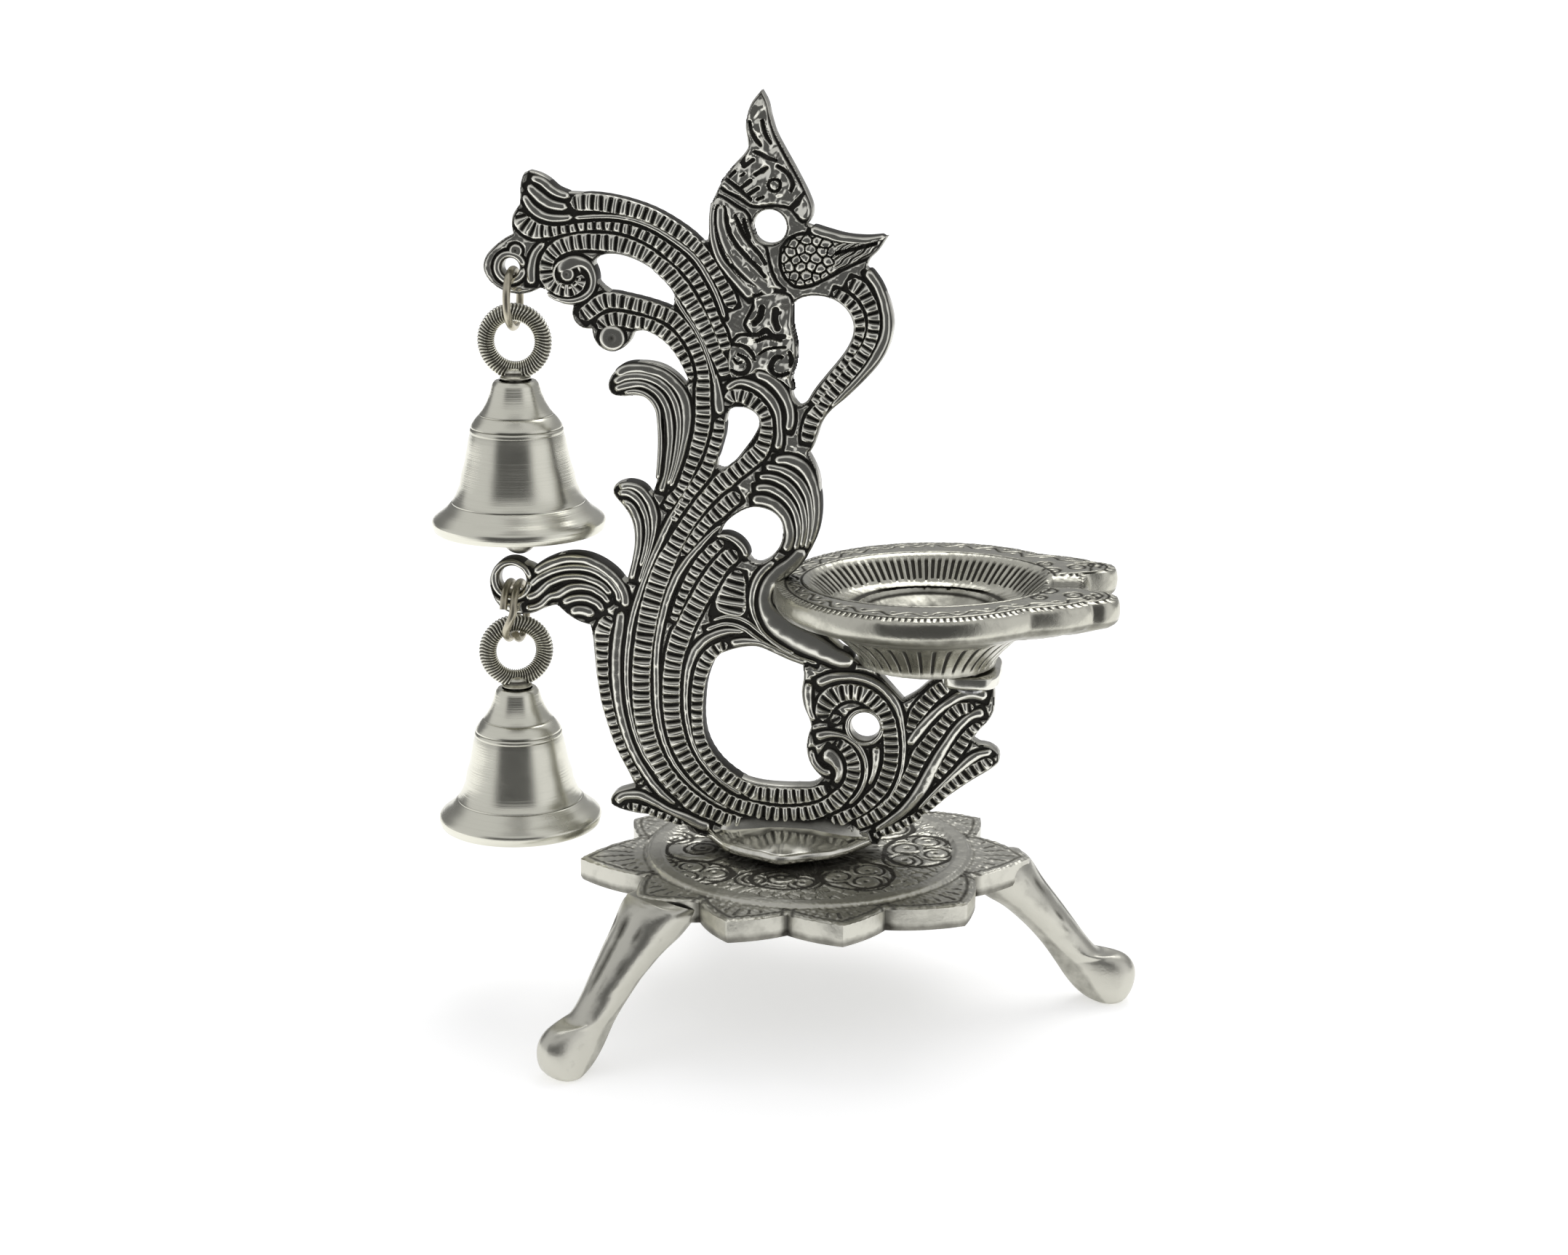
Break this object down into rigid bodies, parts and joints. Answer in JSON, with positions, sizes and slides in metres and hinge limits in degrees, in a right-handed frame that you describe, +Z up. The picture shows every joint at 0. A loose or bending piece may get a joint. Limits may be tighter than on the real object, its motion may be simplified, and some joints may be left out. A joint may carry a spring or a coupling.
{
  "type": "peacock oil lamp with hanging bells",
  "caption": "Openwork peacock casting on a lotus plate with three legs, carrying a spouted oil bowl on its tail and bells with clappers that hang from rings.",
  "frame": {"origin": "middle of the lamp's box, on the floor", "axes": "+Z up, +X towards the bowl's spout, and the peacock's flat front faces -Y"},
  "size_m": [0.1408, 0.1116, 0.18],
  "materials": {
    "cast_stand": "cast, dark in the engraved lines",
    "oxidised_casting": "oxidised, with bright worn ridges",
    "bowl_metal": "engraved and oxidised, satin",
    "bell_metal": "turned, bright",
    "bell_fitting": "knurled and polished",
    "ring_wire": "plated wire",
    "screw_steel": "plain steel"
  },
  "bodies": {
    "lamp": {"lotus_stand": "cast_stand", "peacock_frame": "oxidised_casting", "oil_bowl": "bowl_metal", "stand_screw": "screw_steel", "stand_washer": "screw_steel", "front_bowl_rivet": "screw_steel", "back_bowl_rivet": "screw_steel"},
    "upper_link": {"upper_wire_ring": "ring_wire"},
    "upper_bell": {"upper_bell_ring": "bell_fitting", "upper_bell_shell": "bell_metal", "upper_stem_nut": "screw_steel"},
    "upper_tongue": {"upper_clapper": "bell_fitting"},
    "lower_link": {"lower_wire_ring": "ring_wire"},
    "lower_bell": {"lower_bell_ring": "bell_fitting", "lower_bell_shell": "bell_metal", "lower_stem_nut": "screw_steel"},
    "lower_tongue": {"lower_clapper": "bell_fitting"}
  },
  "joints": [
    {"name": "upper_ring_swing", "type": "hinge", "parent": "lamp", "child": "upper_link", "pos_m": [-0.05281, -0.00446, 0.14575], "axis": [0, 1, 0], "range_deg": [-5, 30]},
    {"name": "upper_bell_swing", "type": "hinge", "parent": "upper_link", "child": "upper_bell", "pos_m": [-0.05281, -0.00446, 0.14025], "axis": [1, 0, 0], "range_deg": [-25, 25]},
    {"name": "upper_clapper_swing", "type": "hinge", "parent": "upper_bell", "child": "upper_tongue", "pos_m": [-0.05281, -0.00446, 0.11735], "axis": [0, 1, 0], "range_deg": [-20, 20]},
    {"name": "lower_ring_swing", "type": "hinge", "parent": "lamp", "child": "lower_link", "pos_m": [-0.05411, -0.00446, 0.08402], "axis": [0, 1, 0], "range_deg": [-4, 20]},
    {"name": "lower_bell_swing", "type": "hinge", "parent": "lower_link", "child": "lower_bell", "pos_m": [-0.05411, -0.00446, 0.07842], "axis": [1, 0, 0], "range_deg": [-20, 20]},
    {"name": "lower_clapper_swing", "type": "hinge", "parent": "lower_bell", "child": "lower_tongue", "pos_m": [-0.05411, -0.00446, 0.05542], "axis": [-0.342, 0.9397, 0], "range_deg": [-20, 20]}
  ]
}
